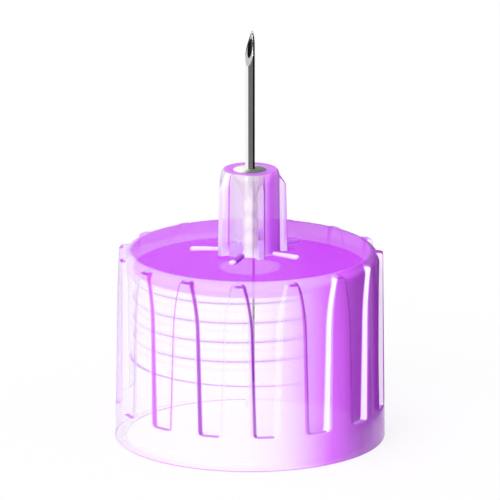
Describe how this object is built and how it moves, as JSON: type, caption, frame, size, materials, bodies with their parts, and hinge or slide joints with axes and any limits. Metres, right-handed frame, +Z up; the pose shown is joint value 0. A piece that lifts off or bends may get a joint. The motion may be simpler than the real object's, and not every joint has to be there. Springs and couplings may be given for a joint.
{
  "type": "pen needle",
  "caption": "Clear purple ribbed hub with a female thread and a finned tower, holding a fine steel cannula with a ground point by a plug of glue.",
  "frame": {"origin": "centre of the hub's open rim, in the plane it stands on", "axes": "+Z runs up along the needle to its point, -Y is the front that the picture shows"},
  "size_m": [0.0114, 0.0114, 0.0174],
  "materials": {
    "hub_plastic": "clear moulded plastic with a purple tint, polished mould finish",
    "cannula_steel": "drawn and ground stainless steel tube, bright",
    "cured_glue": "cured clear adhesive, pale and glossy"
  },
  "bodies": {
    "root": {"hub": "hub_plastic", "cannula": "cannula_steel", "adhesive": "cured_glue"}
  },
  "joints": []
}
